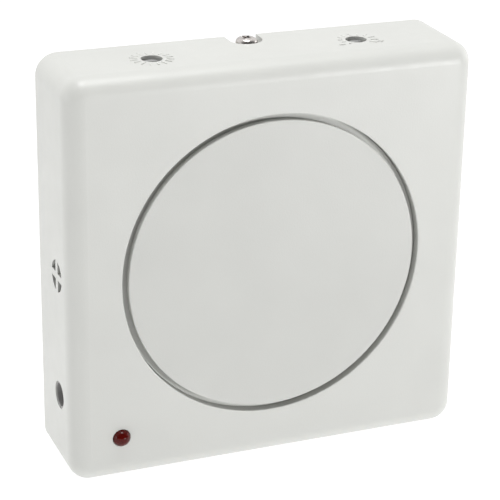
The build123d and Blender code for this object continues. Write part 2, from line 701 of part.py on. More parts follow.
def all_parts():
    ear_places = mirrored(EAR_PITCH, EAR_PITCH)
    post_places = round_the_clock(POST_RADIUS_AT, 4)
    speaker_places = round_the_clock(SPEAKER_SCREW_AT, 4, 45)
    board_places = mirrored(BOARD_SCREW_X, BOARD_SCREW_Z)
    flange_back = FLANGE_FRONT + FLANGE_T
    return {
        "front_cover": front_cover(),
        "front_disc": front_disc(),
        "disc_screws": grouped(screws_from_behind(post_places, BAFFLE_BACK, 4.8)),
        "sound_baffle": sound_baffle(),
        "baffle_screws": grouped(screws_from_behind(ear_places, BAFFLE_BACK, 5.2)),
        "wall_plate": wall_plate(),
        "captive_nut": captive_nut(),
        "cover_screw": cover_screw(),
        "speaker_gasket": speaker_gasket(),
        "speaker_basket": speaker_basket(),
        "speaker_screws": grouped(screws_from_behind(speaker_places, flange_back, 3.2)),
        "speaker_top_plate": ring_y(GAP_R, MAGNET_R - 1.5, TOP_PLATE_FRONT, MAGNET_FRONT),
        "speaker_magnet": ring_y(GAP_R + 1.2, MAGNET_R, MAGNET_FRONT, YOKE_FRONT),
        "speaker_yoke": speaker_yoke(),
        "speaker_tag_board": speaker_tag_board(),
        "voice_coil": voice_coil(),
        "speaker_cone": cone(),
        "dust_cap": dust_cap(),
        "cone_surround": surround(),
        "cone_spider": spider(),
        "circuit_board": circuit_board(),
        "board_screws": grouped(screws_from_behind(board_places, BOARD_BACK, 7.0)),
        "led_lens": led_lens(),
        "led_leads": grouped(led_leads()),
        "led_spacer": led_spacer(),
        "dc_jack_body": dc_jack(),
        "dc_jack_pin": dc_jack_pin(),
        "dc_jack_spring": dc_jack_spring(),
        "left_adjuster_body": adjuster_body(ADJUSTER_X[0]),
        "left_adjuster_rotor": adjuster_rotor(ADJUSTER_X[0]),
        "right_adjuster_body": adjuster_body(ADJUSTER_X[1]),
        "right_adjuster_rotor": adjuster_rotor(ADJUSTER_X[1]),
        "terminal_block": terminal_block(),
        "terminal_screws": grouped(terminal_screws()),
        "tone_chip": chip(*TONE_CHIP, 19.3, 7),
        "amplifier_chip": chip(*AMPLIFIER_CHIP, 9.6, 4),
        "capacitors": grouped(capacitors()),
        "resistors": grouped(resistors()),
        "transistors": grouped(transistors()),
        "speaker_header": speaker_header(),
        "speaker_lead_a": speaker_lead(LEAD_A),
        "speaker_lead_b": speaker_lead(LEAD_B),
    }


def main():
    os.makedirs("parts", exist_ok=True)
    for name, shape in all_parts().items():
        export_step(shape, f"parts/{name}.step")


main()
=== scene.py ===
import math

import bpy
from bpy.props import FloatProperty, FloatVectorProperty, IntProperty, PointerProperty
from mathutils import Matrix, Vector


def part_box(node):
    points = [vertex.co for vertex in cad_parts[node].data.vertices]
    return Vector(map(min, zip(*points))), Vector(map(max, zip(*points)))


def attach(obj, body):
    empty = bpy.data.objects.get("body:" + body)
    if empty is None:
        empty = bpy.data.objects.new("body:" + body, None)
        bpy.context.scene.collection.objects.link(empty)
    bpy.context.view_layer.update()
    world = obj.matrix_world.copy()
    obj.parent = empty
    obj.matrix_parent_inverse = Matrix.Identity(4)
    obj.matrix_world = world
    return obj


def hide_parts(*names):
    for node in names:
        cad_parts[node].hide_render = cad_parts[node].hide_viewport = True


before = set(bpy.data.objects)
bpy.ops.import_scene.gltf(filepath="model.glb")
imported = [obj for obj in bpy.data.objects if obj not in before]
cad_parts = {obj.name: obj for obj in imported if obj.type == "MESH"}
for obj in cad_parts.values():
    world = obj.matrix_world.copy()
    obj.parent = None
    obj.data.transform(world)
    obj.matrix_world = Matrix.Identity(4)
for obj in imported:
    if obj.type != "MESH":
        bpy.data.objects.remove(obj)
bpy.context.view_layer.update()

bl_info = {
    "name": "Alarm Siren Looks",
    "version": (1, 0, 0),
    "blender": (4, 5, 0),
    "location": "View3D > Sidebar > Alarm Siren",
    "description": "Finishes and fine detail for a wall-mounted indoor alarm siren",
    "category": "Object",
}

MM = 0.001
NEAR = 0.01 * MM  # slack when picking points that lie on a plane

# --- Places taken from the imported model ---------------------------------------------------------
COVER_LOW, COVER_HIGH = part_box("front_cover")
BOARD_LOW, BOARD_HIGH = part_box("circuit_board")
SCREW_LOW, SCREW_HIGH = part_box("cover_screw")
SCREW_MIDDLE = (SCREW_LOW + SCREW_HIGH) / 2
LENS_LOW, LENS_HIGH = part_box("led_lens")
LENS_MIDDLE = (LENS_LOW + LENS_HIGH) / 2
TOP_FACE = COVER_HIGH.z
BOARD_FRONT = BOARD_LOW.y
BOARD_BACK = BOARD_HIGH.y


def middle(node):
    """Middle of a CAD node's box."""
    low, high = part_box(node)
    return (low + high) / 2


# --- Shader pieces ------------------------------------------------------------------------------
def new_finish(name):
    """Empty material with its shader and its object coordinates."""
    material = bpy.data.materials.new(name)
    material.use_nodes = True
    nodes = material.node_tree.nodes
    shader = nodes["Principled BSDF"]
    place = nodes.new("ShaderNodeTexCoord")
    return material, shader, place.outputs["Object"]


def wire(material, source, target):
    """Links one socket of a material to another."""
    material.node_tree.links.new(source, target)


def cloud(material, place, scale, detail=3.0, roughness=0.55, stretch=None):
    """Noise in metres; scale is roughly waves per metre. Returns its factor."""
    nodes = material.node_tree.nodes
    if stretch:
        mapping = nodes.new("ShaderNodeMapping")
        mapping.inputs["Scale"].default_value = stretch
        wire(material, place, mapping.inputs["Vector"])
        place = mapping.outputs["Vector"]
    noise = nodes.new("ShaderNodeTexNoise")
    noise.inputs["Scale"].default_value = scale
    noise.inputs["Detail"].default_value = detail
    noise.inputs["Roughness"].default_value = roughness
    wire(material, place, noise.inputs["Vector"])
    return noise.outputs["Fac"]


def roughen(material, shader, factor, low, high):
    """Roughness between low and high, following a factor."""
    node = material.node_tree.nodes.new("ShaderNodeMapRange")
    node.inputs["From Min"].default_value = 0.3
    node.inputs["From Max"].default_value = 0.7
    node.inputs["To Min"].default_value = low
    node.inputs["To Max"].default_value = high
    wire(material, factor, node.inputs["Value"])
    wire(material, node.outputs["Result"], shader.inputs["Roughness"])


def paint(material, shader, factor, colours):
    """Colour that follows a factor; colours are (position, (r, g, b)) stops."""
    ramp = material.node_tree.nodes.new("ShaderNodeValToRGB")
    stops = ramp.color_ramp.elements
    while len(stops) < len(colours):
        stops.new(0.5)
    for stop, (position, colour) in zip(stops, colours):
        stop.position = position
        stop.color = (*colour, 1.0)
    wire(material, factor, ramp.inputs["Fac"])
    wire(material, ramp.outputs["Color"], shader.inputs["Base Color"])


def relief(material, shader, height, depth):
    """Bump of a given depth in metres on the shader's normal."""
    bump = material.node_tree.nodes.new("ShaderNodeBump")
    bump.inputs["Distance"].default_value = depth
    bump.inputs["Strength"].default_value = 1.0
    wire(material, height, bump.inputs["Height"])
    wire(material, bump.outputs["Normal"], shader.inputs["Normal"])


def shade_of(colour, factor):
    """Colour made darker or lighter by a factor."""
    return tuple(min(1.0, channel * factor) for channel in colour)


# --- Finishes -----------------------------------------------------------------------------------
def moulded_plastic(name, colour, roughness, grain=2600.0, depth=0.03 * MM, unevenness=0.04):
    """Injection-moulded plastic: fine spark-eroded grain and slow, slight changes of tone."""
    material, shader, place = new_finish(name)
    slow = cloud(material, place, 38.0, 2.0)
    paint(material, shader, slow, [(0.3, shade_of(colour, 1 - unevenness)), (0.7, colour)])
    patches = cloud(material, place, 240.0, 4.0)
    roughen(material, shader, patches, roughness - 0.05, roughness + 0.06)
    relief(material, shader, cloud(material, place, grain, 2.0, 0.5), depth)
    shader.inputs["IOR"].default_value = 1.53
    return material


def plated_metal(name, colour, roughness, stretch=(1.0, 1.0, 1.0), scale=900.0):
    """Plated or bare metal with fine drawing marks that vary its tone and its shine."""
    material, shader, place = new_finish(name)
    shader.inputs["Metallic"].default_value = 1.0
    marks = cloud(material, place, scale, 5.0, 0.6, stretch)
    paint(material, shader, marks, [(0.25, shade_of(colour, 0.82)), (0.75, colour)])
    roughen(material, shader, marks, roughness - 0.07, roughness + 0.1)
    relief(material, shader, marks, 0.01 * MM)
    return material


def sintered_ferrite(name):
    """Pressed and fired magnet ring: near black, with grey specks."""
    material, shader, place = new_finish(name)
    specks = cloud(material, place, 1500.0, 4.0, 0.7)
    stops = [(0.4, (0.028, 0.028, 0.03)), (0.62, (0.06, 0.06, 0.062)), (0.7, (0.13, 0.13, 0.13))]
    paint(material, shader, specks, stops)
    shader.inputs["Roughness"].default_value = 0.62
    relief(material, shader, specks, 0.04 * MM)
    return material


def closed_cell_foam(name, colour):
    """Soft foam: small round cells."""
    material, shader, place = new_finish(name)
    cells = material.node_tree.nodes.new("ShaderNodeTexVoronoi")
    cells.inputs["Scale"].default_value = 2200.0
    wire(material, place, cells.inputs["Vector"])
    distance = cells.outputs["Distance"]
    stops = [(0.0, shade_of(colour, 0.55)), (0.6, colour)]
    paint(material, shader, distance, stops)
    shader.inputs["Roughness"].default_value = 0.88
    relief(material, shader, distance, 0.06 * MM)
    return material


def pressed_paper(name, colour):
    """Felted paper of the cone: short fibres and a soft bloom."""
    material, shader, place = new_finish(name)
    fibres = cloud(material, place, 1400.0, 8.0, 0.75, (1.0, 3.0, 1.0))
    stops = [(0.35, shade_of(colour, 0.6)), (0.5, colour), (0.72, shade_of(colour, 1.8))]
    paint(material, shader, fibres, stops)
    shader.inputs["Roughness"].default_value = 0.85
    relief(material, shader, fibres, 0.05 * MM)
    return material


def woven_cloth(name, colour):
    """Resin-stiffened open weave of the spider."""
    material, shader, place = new_finish(name)
    nodes = material.node_tree.nodes
    threads = []
    for direction in ("X", "Z"):
        wave = nodes.new("ShaderNodeTexWave")
        wave.bands_direction = direction
        wave.inputs["Scale"].default_value = 520.0
        wave.inputs["Distortion"].default_value = 0.6
        wire(material, place, wave.inputs["Vector"])
        threads.append(wave.outputs["Fac"])
    weave = nodes.new("ShaderNodeMath")
    weave.operation = "MAXIMUM"
    wire(material, threads[0], weave.inputs[0])
    wire(material, threads[1], weave.inputs[1])
    stops = [(0.2, shade_of(colour, 0.35)), (0.8, colour)]
    paint(material, shader, weave.outputs[0], stops)
    shader.inputs["Roughness"].default_value = 0.7
    relief(material, shader, weave.outputs[0], 0.08 * MM)
    return material


def circuit_board_mask(name, colour):
    """Green solder mask with straight copper tracks just visible under it."""
    material, shader, place = new_finish(name)
    nodes = material.node_tree.nodes
    flat = nodes.new("ShaderNodeMapping")
    flat.inputs["Rotation"].default_value = (math.pi / 2, 0, 0)
    wire(material, place, flat.inputs["Vector"])
    tracks = nodes.new("ShaderNodeMath")
    tracks.operation = "MAXIMUM"
    grids = ((44.0, 0.37, 0.022), (71.0, 0.61, 0.02))
    for index, (scale, offset, width) in enumerate(grids):
        grid = nodes.new("ShaderNodeTexBrick")
        grid.offset = offset
        grid.squash = 1.7
        grid.squash_frequency = 3
        grid.inputs["Scale"].default_value = scale
        grid.inputs["Mortar Size"].default_value = width
        grid.inputs["Mortar Smooth"].default_value = 0.15
        wire(material, flat.outputs["Vector"], grid.inputs["Vector"])
        wire(material, grid.outputs["Fac"], tracks.inputs[index])
    copper = tracks.outputs["Value"]
    stops = [(0.2, shade_of(colour, 0.85)), (0.8, shade_of(colour, 1.3))]
    paint(material, shader, copper, stops)
    roughen(material, shader, cloud(material, place, 500.0), 0.26, 0.4)
    shader.inputs["Coat Weight"].default_value = 0.35
    shader.inputs["Coat Roughness"].default_value = 0.15
    relief(material, shader, copper, 0.03 * MM)
    return material


def laminate(name, colour):
    """Paper and resin sheet with fine layers."""
    material, shader, place = new_finish(name)
    layers = cloud(material, place, 700.0, 6.0, 0.7, (0.4, 6.0, 0.4))
    stops = [(0.3, shade_of(colour, 0.65)), (0.7, shade_of(colour, 1.2))]
    paint(material, shader, layers, stops)
    shader.inputs["Roughness"].default_value = 0.5
    relief(material, shader, layers, 0.02 * MM)
    return material


def wound_wire(name, colour):
    """Enamelled copper, wound in fine turns along Y."""
    material, shader, place = new_finish(name)
    wave = material.node_tree.nodes.new("ShaderNodeTexWave")
    wave.bands_direction = "Y"
    wave.inputs["Scale"].default_value = 1600.0
    wire(material, place, wave.inputs["Vector"])
    turns = wave.outputs["Fac"]
    stops = [(0.2, shade_of(colour, 0.4)), (0.8, colour)]
    paint(material, shader, turns, stops)
    shader.inputs["Metallic"].default_value = 0.9
    shader.inputs["Roughness"].default_value = 0.3
    relief(material, shader, turns, 0.05 * MM)
    return material


def shrink_sleeve(name, colour):
    """Glossy plastic sleeve with a slight orange-peel ripple."""
    material, shader, place = new_finish(name)
    ripple = cloud(material, place, 420.0, 3.0)
    stops = [(0.3, shade_of(colour, 0.8)), (0.7, shade_of(colour, 1.15))]
    paint(material, shader, ripple, stops)
    shader.inputs["Roughness"].default_value = 0.22
    shader.inputs["Coat Weight"].default_value = 0.4
    relief(material, shader, ripple, 0.04 * MM)
    return material


def tinted_lens(name, colour):
    """Dark red cast resin of the indicator, clear enough to show what is in it."""
    material, shader, place = new_finish(name)
    haze = cloud(material, place, 900.0, 3.0)
    stops = [(0.3, shade_of(colour, 0.85)), (0.7, shade_of(colour, 1.15))]
    paint(material, shader, haze, stops)
    shader.inputs["Roughness"].default_value = 0.07
    shader.inputs["IOR"].default_value = 1.46
    shader.inputs["Specular IOR Level"].default_value = 0.2
    shader.inputs["Transmission Weight"].default_value = 0.25
    relief(material, shader, haze, 0.01 * MM)
    return material


# --- Modelling helpers --------------------------------------------------------------------------
def let_go():
    """Object mode, with nothing selected."""
    if bpy.context.mode != "OBJECT":
        bpy.ops.object.mode_set(mode="OBJECT")
    bpy.ops.object.select_all(action="DESELECT")


def hold(piece):
    """Only this piece selected and active."""
    let_go()
    piece.select_set(True)
    bpy.context.view_layer.objects.active = piece
    return piece


def added():
    """The primitive that was just added, with its place, turn and size in its mesh."""
    piece = hold(bpy.context.object)
    bpy.ops.object.transform_apply(location=True, rotation=True, scale=True)
    return piece


def cylinder(radius, depth, centre, along="Z", sides=48):
    """Cylinder about a centre, lying along an axis."""
    turn = {"X": (0, math.pi / 2, 0), "Y": (math.pi / 2, 0, 0), "Z": (0, 0, 0)}[along]
    let_go()
    bpy.ops.mesh.primitive_cylinder_add(
        vertices=sides, radius=radius, depth=depth, location=centre, rotation=turn
    )
    return added()


def bar(size, centre, turn=(0, 0, 0)):
    """Block of a given size about a centre."""
    let_go()
    bpy.ops.mesh.primitive_cube_add(size=1, location=centre, rotation=turn, scale=size)
    return added()


def edit(piece, kind, pick):
    """Edit mode with only what pick marks selected; kind is FACE or EDGE."""
    hold(piece)
    bpy.ops.object.mode_set(mode="EDIT")
    bpy.ops.mesh.select_mode(type=kind)
    bpy.ops.mesh.select_all(action="DESELECT")
    bpy.ops.object.mode_set(mode="OBJECT")
    pick(piece.data)
    bpy.ops.object.mode_set(mode="EDIT")


def edit_faces(piece, wanted):
    """Edit mode with just the wanted faces selected."""
    def pick(mesh):
        for face in mesh.polygons:
            face.select = wanted(face)

    edit(piece, "FACE", pick)


def edit_edges(piece, wanted):
    """Edit mode with just the edges selected whose two ends are both wanted."""
    def pick(mesh):
        for line in mesh.edges:
            line.select = all(wanted(mesh.vertices[index].co) for index in line.vertices)

    edit(piece, "EDGE", pick)


def use(piece, kind, **settings):
    """Adds a modifier and applies it."""
    hold(piece)
    modifier = piece.modifiers.new(kind.title(), kind)
    for name, value in settings.items():
        setattr(modifier, name, value)
    bpy.ops.object.modifier_apply(modifier=modifier.name)


def cut_away(piece, cutter):
    """Takes the cutter's shape out of the piece, and removes the cutter."""
    use(piece, "BOOLEAN", operation="DIFFERENCE", solver="EXACT", object=cutter)
    bpy.data.objects.remove(cutter)


def copy_of(piece, shift):
    """Copy with its own mesh, moved by a shift."""
    twin = piece.copy()
    twin.data = piece.data.copy()
    bpy.context.scene.collection.objects.link(twin)
    twin.data.transform(Matrix.Translation(shift))
    return twin


def joined(pieces):
    """One piece made of several."""
    let_go()
    for piece in pieces:
        piece.select_set(True)
    bpy.context.view_layer.objects.active = pieces[0]
    bpy.ops.object.join()
    return bpy.context.object


def face_outwards(piece):
    """Joins loose points and turns every face outwards."""
    hold(piece)
    bpy.ops.object.mode_set(mode="EDIT")
    bpy.ops.mesh.select_all(action="SELECT")
    bpy.ops.mesh.remove_doubles(threshold=0.001 * MM)
    bpy.ops.mesh.normals_make_consistent(inside=False)
    bpy.ops.object.mode_set(mode="OBJECT")


def fit(piece, name, material, body, stands_for=()):
    """Names the finished piece, gives it its finish and ties it to its body."""
    face_outwards(piece)
    bpy.ops.object.shade_smooth_by_angle(angle=math.radians(35))
    let_go()
    piece.name = name
    piece.data.name = name
    piece.data.materials.clear()
    piece.data.materials.append(material)
    if stands_for:
        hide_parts(*stands_for)
    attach(piece, body)
    return piece


def dress(finish, *nodes):
    """Gives CAD nodes their finish; their shapes are left alone."""
    for node in nodes:
        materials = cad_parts[node].data.materials
        if not materials:
            materials.append(finish)
        for index in range(len(materials)):
            materials[index] = finish


def feet(node):
    """Middles, as (x, z), of the clusters of points where a node stands on the board."""
    reach = 0.6 * MM
    found = []
    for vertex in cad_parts[node].data.vertices:
        point = vertex.co
        if abs(point.y - BOARD_FRONT) > 2 * NEAR:
            continue
        for cluster in found:
            if math.hypot(point.x - cluster[0].x, point.z - cluster[0].z) < reach:
                cluster.append(point)
                break
        else:
            found.append([point])
    return [
        (sum(p.x for p in cluster) / len(cluster), sum(p.z for p in cluster) / len(cluster))
        for cluster in found
    ]


# --- Settings -----------------------------------------------------------------------------------
def colour_setting(name, description, default):
    """Property that holds a colour."""
    return FloatVectorProperty(
        name=name, description=description, default=default, subtype="COLOR", min=0, max=1
    )


def length_setting(name, description, default):
    """Property that holds a length in metres."""
    return FloatProperty(name=name, description=description, default=default, unit="LENGTH")


def share_setting(name, description, default):
    """Property that holds a share from 0 to 1."""
    return FloatProperty(
        name=name, description=description, default=default, min=0, max=1, subtype="FACTOR"
    )


class SIREN_PG_housing(bpy.types.PropertyGroup):
    colour: colour_setting("Plastic colour", "White of the moulded housing", (0.635, 0.640, 0.612))
    disc_tone: share_setting("Disc tone", "Brightness of the disc beside the housing", 0.93)
    roughness: share_setting("Roughness", "Satin of the moulded surface", 0.42)
    grain: FloatProperty(
        name="Grain", description="Moulded grains per metre", default=2600.0, min=100.0
    )


class SIREN_PG_screw(bpy.types.PropertyGroup):
    colour: colour_setting("Steel colour", "Zinc plating of the screws", (0.70, 0.665, 0.64))
    head_height: length_setting("Head height", "Height of the screw's domed head", 2.6 * MM)
    pitch: length_setting("Thread pitch", "Rise of one turn of the thread", 0.5 * MM)
    recess_depth: length_setting("Recess depth", "Depth of the cross recess", 1.8 * MM)
    recess_width: length_setting("Recess width", "Width of one wing of the cross", 1.0 * MM)


class SIREN_PG_indicator(bpy.types.PropertyGroup):
    colour: colour_setting("Lens colour", "Red of the indicator's resin", (0.10, 0.003, 0.0015))
    flange: length_setting("Flange", "How far the lens's foot stands out", 0.4 * MM)


class SIREN_PG_dials(bpy.types.PropertyGroup):
    rays: IntProperty(name="Rays", description="Raised rays round the left hole", default=16)
    ticks: IntProperty(name="Ticks", description="Raised ticks round the right hole", default=11)
    height: length_setting("Height", "How far the marks stand up", 0.07 * MM)
    width: length_setting("Width", "Width of a ray or tick", 0.34 * MM)
    # Tone is a painted highlight: the marks are painted lighter than the housing to stand in for
    # the light their raised tops catch.
    tone: FloatProperty(
        name="Tone", description="Brightness of the polished marks beside the housing",
        default=1.12, min=0.5, max=1.5,
    )


class SIREN_PG_board(bpy.types.PropertyGroup):
    colour: colour_setting("Mask colour", "Green of the solder mask", (0.02, 0.16, 0.07))
    joint_radius: length_setting("Solder radius", "Radius of a solder joint's foot", 0.85 * MM)
    joint_height: length_setting("Solder height", "Height of a solder joint", 0.9 * MM)


class SIREN_PG_stage(bpy.types.PropertyGroup):
    azimuth: FloatProperty(
        name="Azimuth", description="Camera's angle from the front; below zero is to the left",
        default=math.radians(-22.002), subtype="ANGLE",
    )
    elevation: FloatProperty(
        name="Elevation", description="Camera's angle above the horizon",
        default=math.radians(22.216), subtype="ANGLE",
    )
    roll: FloatProperty(
        name="Roll", description="Camera's turn about its own line of sight",
        default=math.radians(1.034), subtype="ANGLE",
    )
    distance: length_setting("Distance", "Camera to the point it looks at", 0.510053)
    lens: FloatProperty(name="Lens", description="Focal length in millimetres", default=134.11)
    target: FloatVectorProperty(
        name="Target", description="Point that the camera looks at",
        default=(0.00376, 0.0, -0.006124), subtype="TRANSLATION",
    )
    front_sky: FloatProperty(
        name="Front sky", description="Strength of the soft light from in front", default=0.08
    )
    back_sky: FloatProperty(
        name="Back sky", description="Strength of the soft light from behind", default=1.25
    )
    key: FloatProperty(
        name="Key", description="Power of the lamp in front on the right", default=2.7
    )
    top: FloatProperty(name="Top", description="Power of the lamp above", default=2.25)
    left: FloatProperty(name="Left", description="Power of the lamp on the left", default=1.3)
    rim: FloatProperty(name="Rim", description="Power of the lamp at the right side", default=0.8)


# --- Operators ----------------------------------------------------------------------------------
class SIREN_OT_housing(bpy.types.Operator):
    """Gives the housing, disc, baffle and wall plate their white moulded finish"""

    bl_idname = "siren.housing"
    bl_label = "Housing finish"

    def execute(self, context):
        settings = context.scene.siren_housing
        white = moulded_plastic(
            "white_moulding", tuple(settings.colour), settings.roughness, settings.grain
        )
        dress(white, "front_cover", "sound_baffle", "wall_plate")
        tone = shade_of(tuple(settings.colour), settings.disc_tone)
        disc_white = moulded_plastic("disc_moulding", tone, settings.roughness, settings.grain)
        dress(disc_white, "front_disc")
        return {"FINISHED"}


class SIREN_OT_cover_screw(bpy.types.Operator):
    """Models the cross-head screw of the top notch, with its thread"""

    bl_idname = "siren.cover_screw"
    bl_label = "Cover screw"

    def execute(self, context):
        settings = context.scene.siren_screw
        radius = (SCREW_HIGH.x - SCREW_LOW.x) / 2
        height = settings.head_height
        seat = SCREW_HIGH.z - height
        place = (SCREW_MIDDLE.x, SCREW_MIDDLE.y, seat + height / 2)
        head = cylinder(radius, height, place, sides=72)
        edit_edges(head, lambda point: point.z > SCREW_HIGH.z - NEAR)
        bpy.ops.mesh.bevel(offset=height * 0.55, segments=8, profile=0.5)
        edit_edges(head, lambda point: point.z < seat + NEAR)
        bpy.ops.mesh.bevel(offset=0.15 * MM, segments=3)
        let_go()
        cut_away(head, self.cross_cutter(settings))
        shank = self.threaded_shank(settings, seat)
        steel = plated_metal("zinc_plate", tuple(settings.colour), 0.19, scale=1300.0)
        fit(
            joined([head, shank]), "cover_screw_threaded", steel, "cover_screw",
            ("cover_screw",),
        )
        dress(
            steel, "disc_screws", "baffle_screws", "speaker_screws", "board_screws",
            "terminal_screws",
        )
        return {"FINISHED"}

    def cross_cutter(self, settings):
        """Two tapered blades crossed at a right angle."""
        spare = 0.4 * MM
        length = 3.5 * MM
        taper = 0.42
        top = SCREW_HIGH.z + spare
        depth = settings.recess_depth + spare
        blades = []
        for turn in (math.radians(35), math.radians(125)):
            blade = bar(
                (length, settings.recess_width, depth),
                (SCREW_MIDDLE.x, SCREW_MIDDLE.y, top - depth / 2), (0, 0, turn),
            )
            edit_faces(blade, lambda face: face.normal.z < -0.9)
            bpy.ops.transform.resize(value=(taper, taper, 1), center_override=SCREW_MIDDLE)
            let_go()
            blades.append(blade)
        use(blades[0], "BOOLEAN", operation="UNION", solver="EXACT", object=blades[1])
        bpy.data.objects.remove(blades[1])
        return blades[0]

    def threaded_shank(self, settings, seat):
        """Core with a pointed end, and a helical ridge round it."""
        crest = 1.5 * MM
        core = crest - 0.3 * MM
        point = 0.5 * MM
        x, y = SCREW_MIDDLE.x, SCREW_MIDDLE.y
        low = SCREW_LOW.z
        top = seat + 0.3 * MM
        shank = cylinder(core, top - low, (x, y, (top + low) / 2))
        edit_edges(shank, lambda corner: corner.z < low + NEAR)
        bpy.ops.mesh.bevel(offset=point, segments=2)
        let_go()
        bpy.ops.mesh.primitive_circle_add(
            vertices=3, radius=0.36 * MM, location=(core - 0.02 * MM, 0, 0),
            rotation=(math.pi / 2, math.pi / 2, 0),
        )
        ridge = added()
        edit_edges(ridge, lambda corner: True)
        bpy.ops.transform.resize(value=(1, 1, 0.62), center_override=(core, 0, 0))
        let_go()
        turns = int((seat - low - 1.4 * MM) / settings.pitch)
        use(
            ridge, "SCREW", angle=math.tau, screw_offset=settings.pitch, iterations=turns,
            steps=28, render_steps=28, axis="Z",
        )
        edit_edges(ridge, lambda corner: True)
        bpy.ops.mesh.fill_holes(sides=0)
        let_go()
        ridge.data.transform(Matrix.Translation((x, y, low + 0.6 * MM)))
        return joined([shank, ridge])


class SIREN_OT_indicator(bpy.types.Operator):
    """Models the indicator's red lens and the cup and post that are cast into it"""

    bl_idname = "siren.indicator"
    bl_label = "Indicator"

    def execute(self, context):
        settings = context.scene.siren_indicator
        radius = (LENS_HIGH.x - LENS_LOW.x) / 2 - settings.flange
        tip = LENS_LOW.y
        lens = self.lens(settings, radius, tip)
        red = tinted_lens("red_resin", tuple(settings.colour))
        fit(lens, "indicator_lens", red, "housing", ("led_lens",))

        tinned = plated_metal("tinned_strip", (0.75, 0.75, 0.73), 0.3, scale=1100.0)
        fit(self.lead_frame(tip), "indicator_cup", tinned, "housing")
        dress(tinned, "led_leads")
        dress(moulded_plastic("black_spacer", (0.03, 0.03, 0.03), 0.45), "led_spacer")
        return {"FINISHED"}

    def lens(self, settings, radius, tip):
        """Dome, straight barrel and stepped foot, with a shallow hollow at the back."""
        foot = 1.0 * MM
        hollow = 0.4 * MM
        base = LENS_HIGH.y
        dome_end = (LENS_MIDDLE.x, tip + radius, LENS_MIDDLE.z)
        let_go()
        bpy.ops.mesh.primitive_uv_sphere_add(
            segments=56, ring_count=28, radius=radius, location=dome_end,
            rotation=(math.pi / 2, 0, 0),
        )
        lens = added()
        edit_faces(lens, lambda face: True)
        bpy.ops.mesh.bisect(plane_co=dome_end, plane_no=(0, 1, 0), clear_outer=True)
        axis = (LENS_MIDDLE.x, base, LENS_MIDDLE.z)
        wider = (radius + settings.flange) / radius
        edit_edges(lens, lambda point: point.y > tip + radius - NEAR)
        for step, size in ((base - foot - tip - radius, wider), (foot, 0.7)):
            bpy.ops.mesh.extrude_region_move(TRANSFORM_OT_translate={"value": (0, step, 0)})
            bpy.ops.mesh.extrude_region_move()
            bpy.ops.transform.resize(value=(size, 1, size), center_override=axis)
        bpy.ops.mesh.extrude_region_move(TRANSFORM_OT_translate={"value": (0, -hollow, 0)})
        bpy.ops.mesh.edge_face_add()
        let_go()
        return lens

    def lead_frame(self, tip):
        """Reflector cup on one lead and a plain post on the other, with the chip in the cup."""
        leads_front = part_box("led_leads")[0].y
        z = LENS_MIDDLE.z
        cup_x = LENS_MIDDLE.x - 0.75 * MM
        post_x = LENS_MIDDLE.x + 1.27 * MM
        front = tip + 2.6 * MM
        overlap = 0.3 * MM
        cup = cylinder(0.85 * MM, 1.0 * MM, (cup_x, front + 0.5 * MM, z), "Y", 32)
        edit_faces(cup, lambda face: face.normal.y < -0.9)
        bpy.ops.mesh.inset(thickness=0.15 * MM)
        bpy.ops.mesh.extrude_region_move(TRANSFORM_OT_translate={"value": (0, 0.45 * MM, 0)})
        bpy.ops.transform.resize(value=(0.6, 1, 0.6), center_override=(cup_x, front, z))
        let_go()
        parts = [cup]
        for x, start, width in (
            (cup_x - 0.3 * MM, front + 0.9 * MM, 1.3 * MM),
            (post_x, front, 0.8 * MM),
        ):
            plate = bar(
                (width, leads_front - start + overlap, 0.45 * MM),
                (x, (leads_front + overlap + start) / 2, z),
            )
            edit_faces(plate, lambda face: face.normal.y > 0.9)
            bpy.ops.transform.resize(value=(0.5, 1, 1), center_override=(x, leads_front, z))
            let_go()
            use(plate, "BEVEL", width=0.06 * MM, segments=2)
            parts.append(plate)
        chip = bar((0.35 * MM, 0.2 * MM, 0.35 * MM), (cup_x, front + 0.5 * MM, z))
        use(chip, "BEVEL", width=0.03 * MM, segments=1)
        parts.append(chip)
        return joined(parts)


